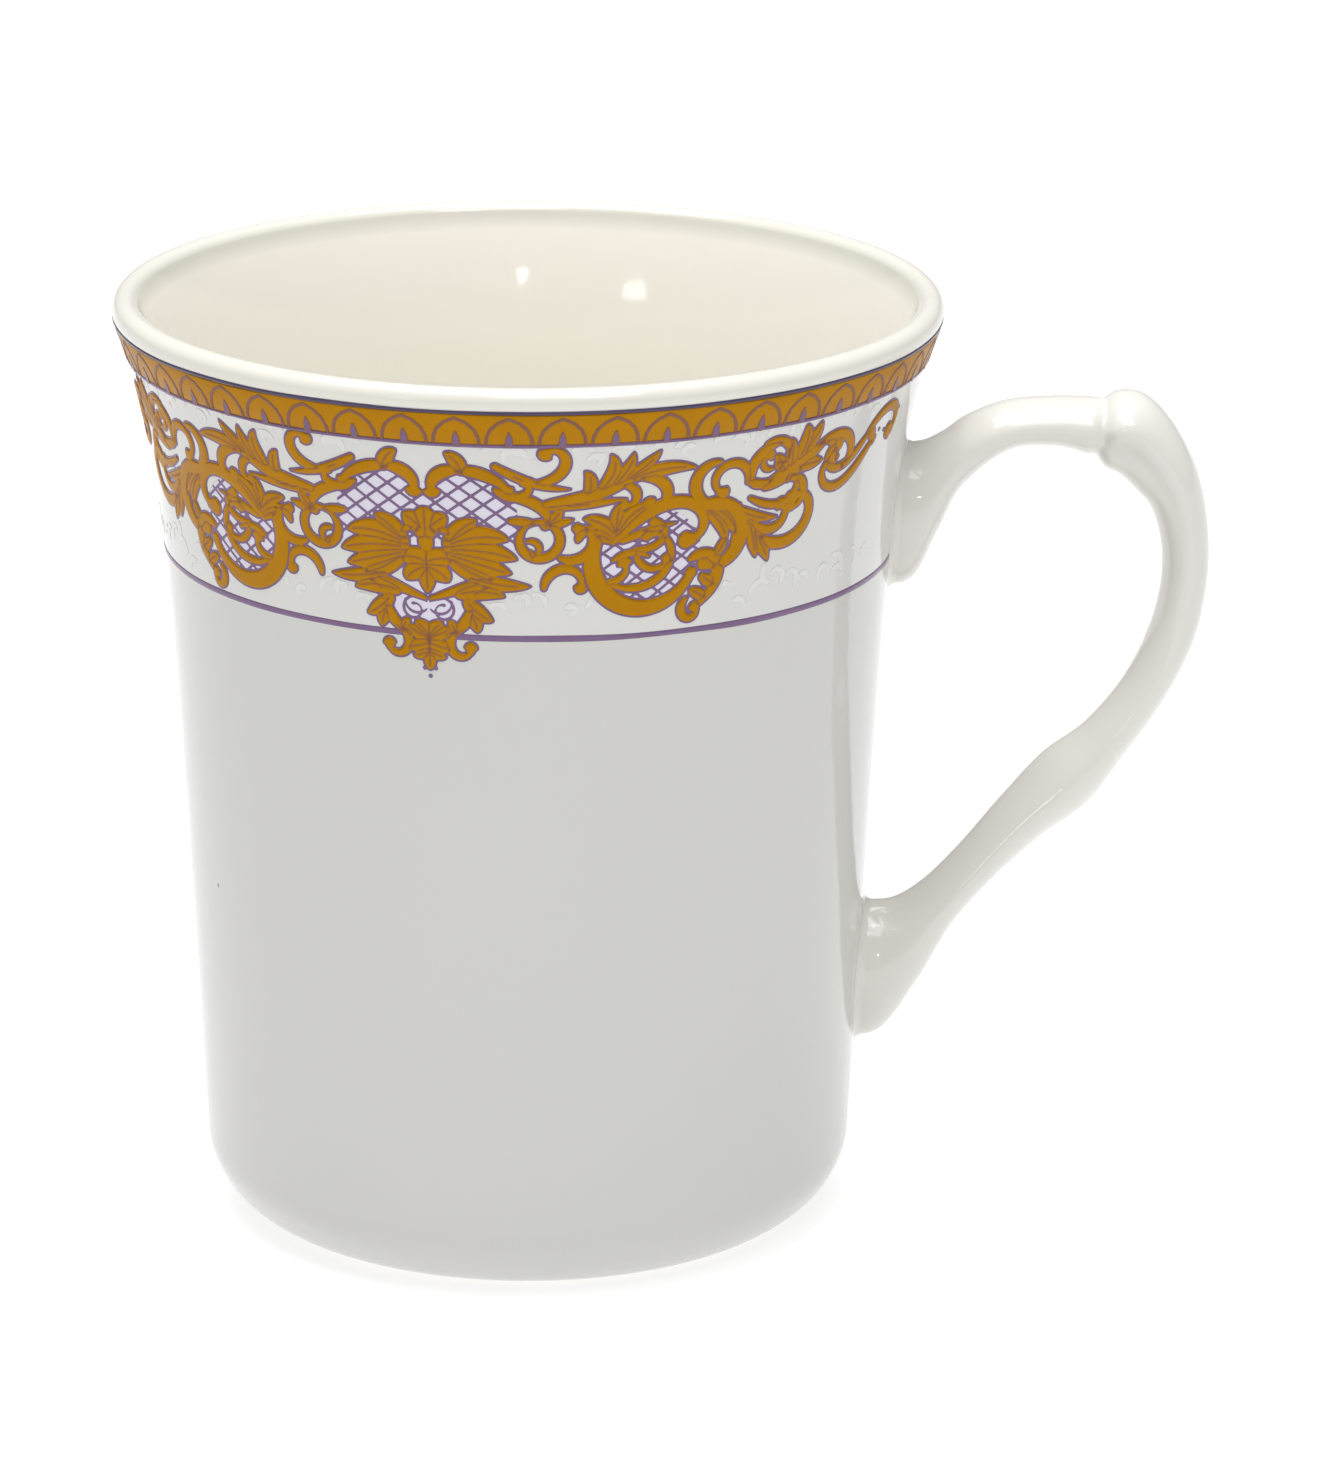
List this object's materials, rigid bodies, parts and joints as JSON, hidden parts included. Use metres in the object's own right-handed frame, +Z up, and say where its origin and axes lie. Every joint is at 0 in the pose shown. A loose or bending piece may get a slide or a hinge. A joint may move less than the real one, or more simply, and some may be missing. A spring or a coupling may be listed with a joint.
{
  "type": "handled china cup",
  "caption": "Straight-sided china cup with a flared lip, a moulded loop handle, a gold rim band and a raised gold scroll frieze.",
  "frame": {"origin": "on the table, in the middle of the foot ring", "axes": "+Z up along the cup's axis; +X towards the handle; -Y towards the side that shows the front palmette"},
  "size_m": [0.1089, 0.082, 0.0946],
  "materials": {
    "white_glazed_china": "clear gloss glaze over white china",
    "gold_enamel": "flat ochre gold, fired on, satin gloss",
    "lilac_enamel": "grey lilac line, fired on, gloss"
  },
  "bodies": {
    "root": {"back_left_leaf_scroll": "gold_enamel", "back_left_leaf_spray": "gold_enamel", "back_left_medallion": "gold_enamel", "back_left_tail_scroll": "gold_enamel", "back_palmette": "gold_enamel", "back_right_leaf_scroll": "gold_enamel", "back_right_leaf_spray": "gold_enamel", "back_right_medallion": "gold_enamel", "back_right_tail_scroll": "gold_enamel", "body_ring": "lilac_enamel", "cup_body": "white_glazed_china", "front_left_leaf_scroll": "gold_enamel", "front_left_leaf_spray": "gold_enamel", "front_left_medallion": "gold_enamel", "front_left_tail_scroll": "gold_enamel", "front_palmette": "gold_enamel", "front_right_leaf_scroll": "gold_enamel", "front_right_leaf_spray": "gold_enamel", "front_right_medallion": "gold_enamel", "front_right_tail_scroll": "gold_enamel", "handle": "white_glazed_china", "lower_handle_slip": "white_glazed_china", "rim_arches": "lilac_enamel", "rim_gold_band": "gold_enamel", "rim_lower_line": "lilac_enamel", "rim_upper_line": "lilac_enamel", "upper_handle_slip": "white_glazed_china"}
  },
  "joints": []
}
